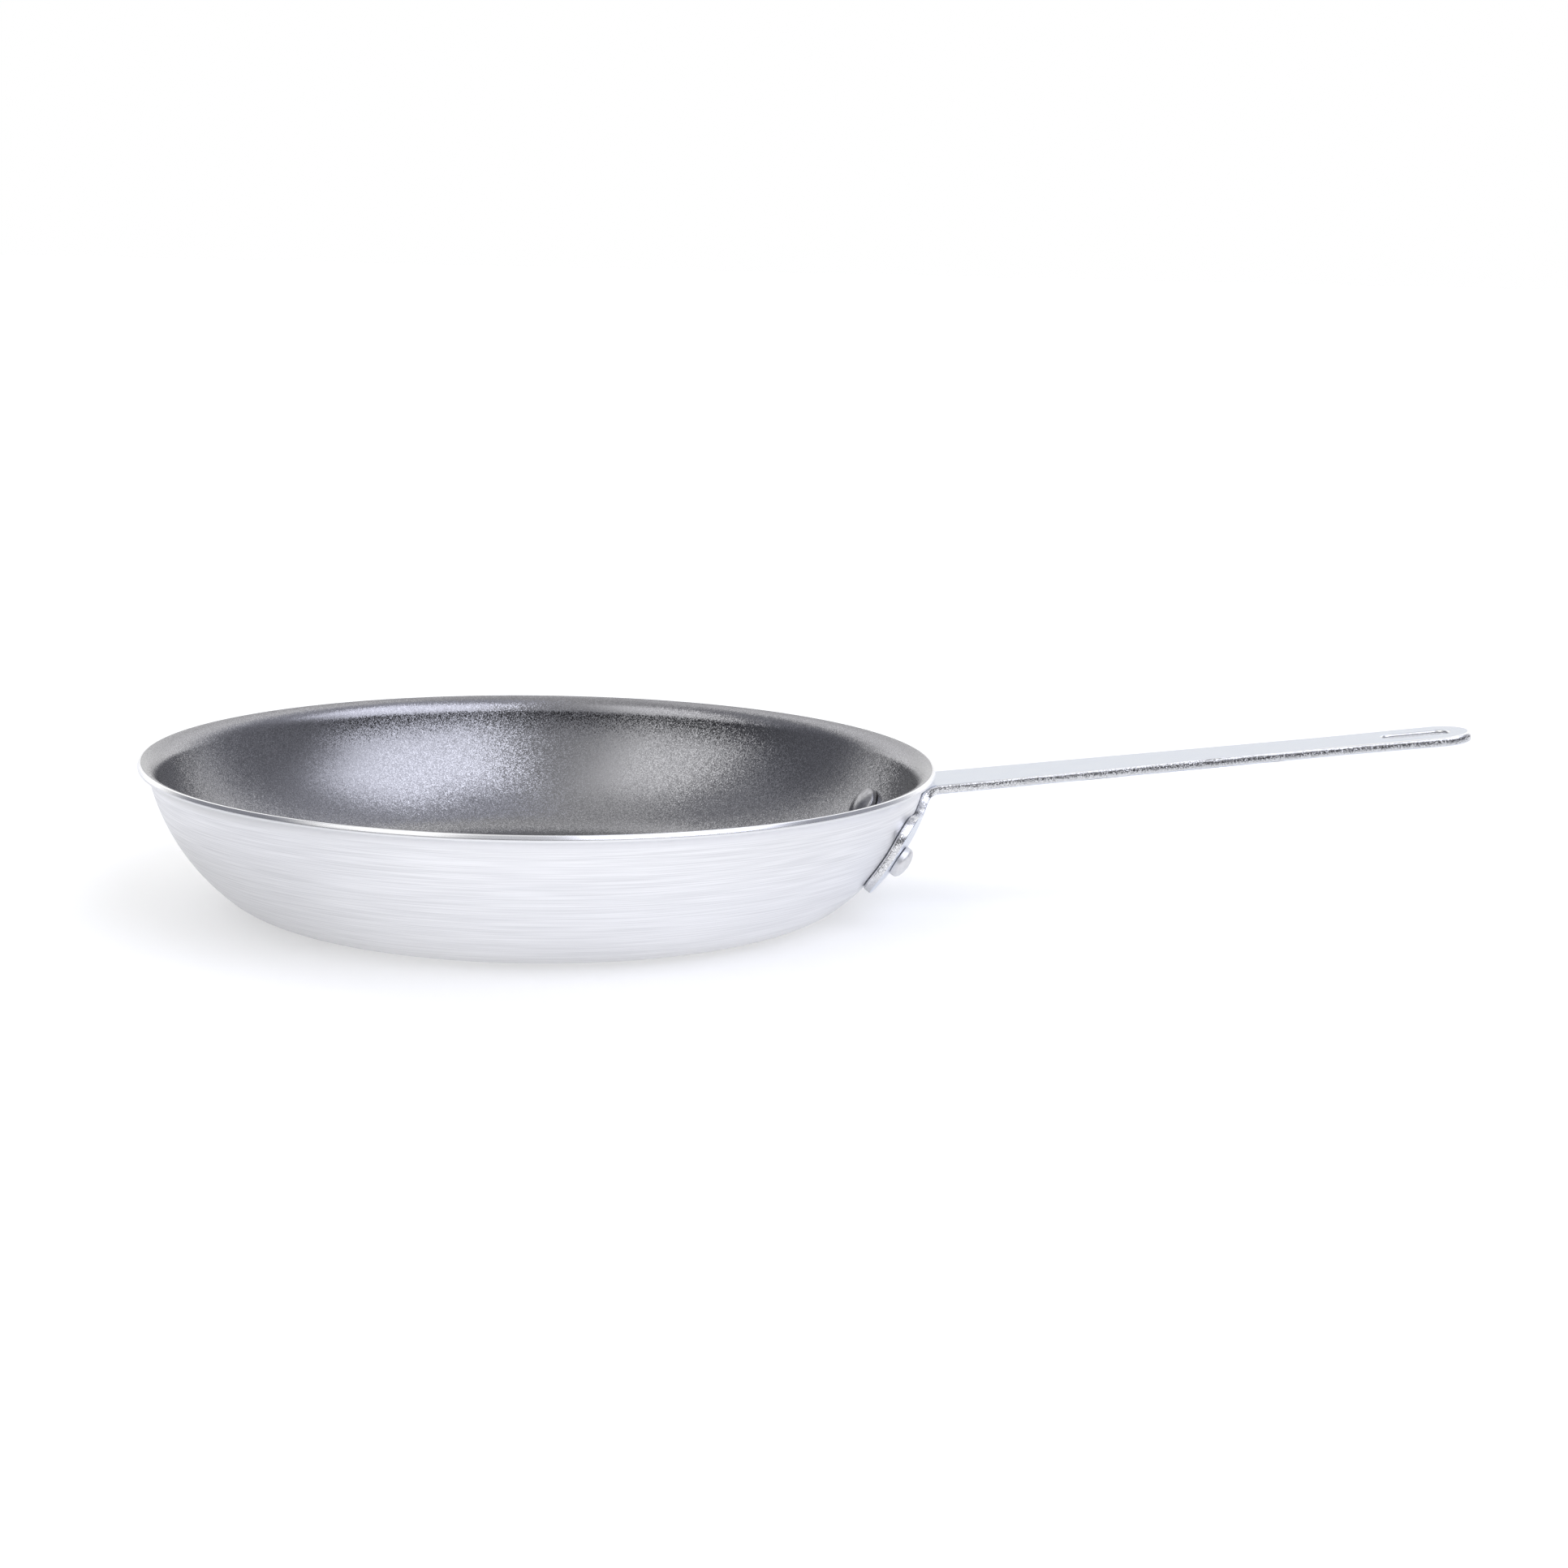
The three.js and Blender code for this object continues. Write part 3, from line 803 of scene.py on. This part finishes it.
# Rivets, along Z, with the outside of the wall at zero
def rivet(name, turn, seed):
    """A rivet at a turn about the pan's axis. Its seed makes its hammer marks its own."""
    shank = SHANK_DIAMETER / 2
    outer = OUTER_HEAD_DIAMETER / 2
    inner = INNER_HEAD_DIAMETER / 2
    face = SHEET + FILM_GAP + FILM
    hollow = wall_radius - face - sqrt((wall_radius - face) ** 2 - inner**2)
    outer_seat = FOOT_GAP + STRAP
    inner_seat = -face - hollow
    inner_end = inner_seat - INNER_HEAD_HEIGHT
    edge = inner_end + INNER_HEAD_CROWN
    crown = inner - INNER_HEAD_ROUND
    crown_radius = (crown**2 + INNER_HEAD_CROWN**2) / (2 * INNER_HEAD_CROWN)
    crown_slope = asin(crown / crown_radius)
    crown_centre = Vector((0, inner_end + crown_radius))
    round_centre = on_arc(Vector((crown, edge)), -INNER_HEAD_ROUND, crown_slope)
    dome_foot = outer_seat + OUTER_HEAD_SIDE
    dome_height = OUTER_HEAD_HEIGHT - OUTER_HEAD_SIDE
    steps = 2 * ARRIS_STEPS
    quarter = [pi / 2 * k / steps for k in range(steps + 1)]
    inside = [
        *arc(crown_centre, crown_radius, 0, crown_slope, ARRIS_STEPS),
        *arc(round_centre, INNER_HEAD_ROUND, crown_slope, pi / 2, ARRIS_STEPS)[1:],
        Vector((round_centre.x + INNER_HEAD_ROUND, inner_seat)),
        Vector((shank, inner_seat)),
    ]
    outside = [
        Vector((shank, outer_seat)),
        Vector((outer, outer_seat)),
        *[Vector((outer * cos(a), dome_foot + dome_height * sin(a))) for a in quarter[:-1]],
        Vector((0, outer_seat + OUTER_HEAD_HEIGHT)),
    ]
    marks = [1.0] * len(inside) + [0.0] * len(outside)
    mesh = revolve(name, [*inside, *outside], RIVET_SEGMENTS, inside=marks)
    for vertex in mesh.vertices:
        sample = vertex.co * (1 / shank) + Vector((seed, 0, 0))
        vertex.co += HAMMER_MARKS * noise.noise_vector(sample)
    seat = Matrix.Translation((rivet_radius * cos(turn), rivet_radius * sin(turn), rivet_height))
    lean = Matrix.Rotation(turn, 4, "Z") @ Matrix.Rotation(pi - rivet_slope, 4, "Y")
    mesh.transform(seat @ lean)
    piece = new_piece(name, mesh, rivet_metal)
    bevel = piece.modifiers.new("arrises", "BEVEL")
    bevel.width = RIVET_ARRIS
    bevel.segments = BEVEL_STEPS
    bevel.angle_limit = radians(50)
    return piece


# Studio
def floor():
    """A pale floor that is white to the camera away from the object, and keeps the object's shadow."""
    mesh = bpy.data.meshes.new("floor")
    corners = [(-1, -1), (1, -1), (1, 1), (-1, 1)]
    mesh.from_pydata([(FLOOR_REACH * x, FLOOR_REACH * y, 0) for x, y in corners], [], [(0, 1, 2, 3)])
    material, tree, shader = new_material("floor")
    tree.nodes.remove(shader)
    path = add_node(tree, "LightPath").outputs
    across = add_node(tree, "SeparateXYZ", {0: place(tree)}).outputs[0]
    share = math_node(tree, "MINIMUM", ramp(tree, across, *FLOOR_LEFT), ramp(tree, across, *FLOOR_RIGHT))
    seen = math_node(tree, "MULTIPLY", path["Is Glossy Ray"], share)
    seen = math_node(tree, "MAXIMUM", seen, path["Is Camera Ray"])
    seen = math_node(tree, "MAXIMUM", seen, path["Is Transmission Ray"])
    paper = add_node(tree, "BsdfDiffuse", {"Color": FLOOR_PAPER}).outputs[0]
    strength = math_node(tree, "MULTIPLY", seen, FLOOR_LIFT)
    lift = add_node(tree, "Emission", {"Strength": strength}).outputs[0]
    both = add_node(tree, "AddShader", {0: paper, 1: lift}).outputs[0]
    connect(tree, tree.nodes["Material Output"], {"Surface": both})
    sheet = bpy.data.objects.new("floor", mesh)
    bpy.context.scene.collection.objects.link(sheet)
    sheet.location.z = -FLOOR_GAP
    mesh.materials.append(material)


def surroundings():
    """A studio seen from the pan, and plain white to the camera.

    Two softboxes stand in front, the key light to the right and a fill light to the left, and the back is
    bright, a little less so in its middle. The sides are dimmer, and it is darkest low in front.
    """
    world = bpy.data.worlds.new("studio")
    bpy.context.scene.world = world
    world.use_nodes = True
    tree = world.node_tree
    tree.nodes.remove(tree.nodes["Background"])
    direction = add_node(tree, "SeparateXYZ", {0: add_node(tree, "TexCoord").outputs["Generated"]}).outputs
    height = direction[2]
    turn = math_node(tree, "ARCTAN2", direction[0], math_node(tree, "MULTIPLY", direction[1], -1))

    def past(start, full):
        """Nothing at one turn and one at the other."""
        return ramp(tree, turn, radians(start), radians(full))

    def between(start, full, fading, end):
        """One between two turns, falling to nothing outside them."""
        return math_node(tree, "MULTIPLY", past(start, full), past(end, fading))

    def above(low, high):
        """Nothing below one elevation and one above the other."""
        return ramp(tree, height, sin(radians(low)), sin(radians(high)))

    key_top = math_node(tree, "MULTIPLY", between(*KEY_TOP_TURNS), above(*KEY_TOP_RISE))
    key = math_node(tree, "MAXIMUM", between(*KEY_TURNS), key_top)
    left = between(*LEFT_TURNS)
    sides = math_node(tree, "MAXIMUM", left, between(*RIGHT_TURNS))
    back = math_node(tree, "MAXIMUM", past(*BACK_FROM_LEFT), past(*BACK_FROM_RIGHT))
    middle_start, middle_full = [radians(angle) for angle in BACK_MIDDLE_TURNS]
    middle = ramp(tree, math_node(tree, "ABSOLUTE", turn), middle_start, middle_full)
    front_rise = mix_value(tree, FRONT_SLOW_SHARE, above(*FRONT_RISE), above(*FRONT_SLOW_RISE))
    front_share = mix_value(tree, front_rise, STUDIO_LOW, 1.0)
    side_share = mix_value(tree, above(*SIDE_RISE), STUDIO_SIDE_LOW, 1.0)
    level = mix_value(tree, left, STUDIO_FRONT, STUDIO_LEFT)
    level = mix_value(tree, between(*FILL_TURNS), level, STUDIO_FILL)
    level = mix_value(tree, key, level, STUDIO_KEY)
    level = math_node(tree, "MULTIPLY", level, mix_value(tree, sides, front_share, side_share))
    level = mix_value(tree, back, level, mix_value(tree, middle, STUDIO_BACK, STUDIO_BACK_MIDDLE))
    level = mix_value(tree, above(*OVERHEAD_RISE), level, STUDIO_OVERHEAD)
    cool = math_node(tree, "MAXIMUM", past(*COOL_TURNS), ramp(tree, level, 0.8, 0.2))
    cool = math_node(tree, "MULTIPLY", cool, math_node(tree, "SUBTRACT", 1.0, back))
    colour = mix_colour(tree, cool, WHITE, COOL_WHITE)
    studio = add_node(tree, "Background", {"Color": colour, "Strength": level}).outputs[0]
    white = add_node(tree, "Background", {"Color": WHITE, "Strength": 1.0}).outputs[0]
    seen = add_node(tree, "LightPath").outputs["Is Camera Ray"]
    both = add_node(tree, "MixShader", {0: seen, 1: studio, 2: white}).outputs[0]
    connect(tree, tree.nodes["World Output"], {"Surface": both})


def camera():
    """Stands at its distance from the middle of the rim, and then turns a little away from it."""
    data = bpy.data.cameras.new("camera")
    data.sensor_width = CAMERA_SENSOR
    data.lens = CAMERA_LENS
    holder = bpy.data.objects.new("camera", data)
    bpy.context.scene.collection.objects.link(holder)
    stand = Vector((0, -cos(CAMERA_ELEVATION), sin(CAMERA_ELEVATION))) * CAMERA_DISTANCE
    holder.matrix_world = (
        Matrix.Translation((0, 0, PAN_HEIGHT))
        @ Matrix.Rotation(CAMERA_TURN, 4, "Z")
        @ Matrix.Translation(stand)
        @ Matrix.Rotation(-CAMERA_YAW, 4, "Z")
        @ Matrix.Rotation(pi / 2 - CAMERA_PITCH, 4, "X")
        @ Matrix.Rotation(CAMERA_ROLL, 4, "Z")
    )
    bpy.context.scene.camera = holder


rivet_metal = rivet_aluminium()
pieces = [
    (pan_body(), "pan_body", "body_aluminium"),
    (lining(), "nonstick_lining", "nonstick"),
    (handle(), "handle", "plated_steel"),
    (rivet("near_rivet", -rivet_turn, 1.3), "rivet_near", "rivet_aluminium"),
    (rivet("far_rivet", rivet_turn, 7.9), "rivet_far", "rivet_aluminium"),
]
for piece, node, finish in pieces:
    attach(piece, "root")
    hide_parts(node)

floor()
surroundings()
camera()
bpy.context.scene.view_settings.view_transform = "Standard"
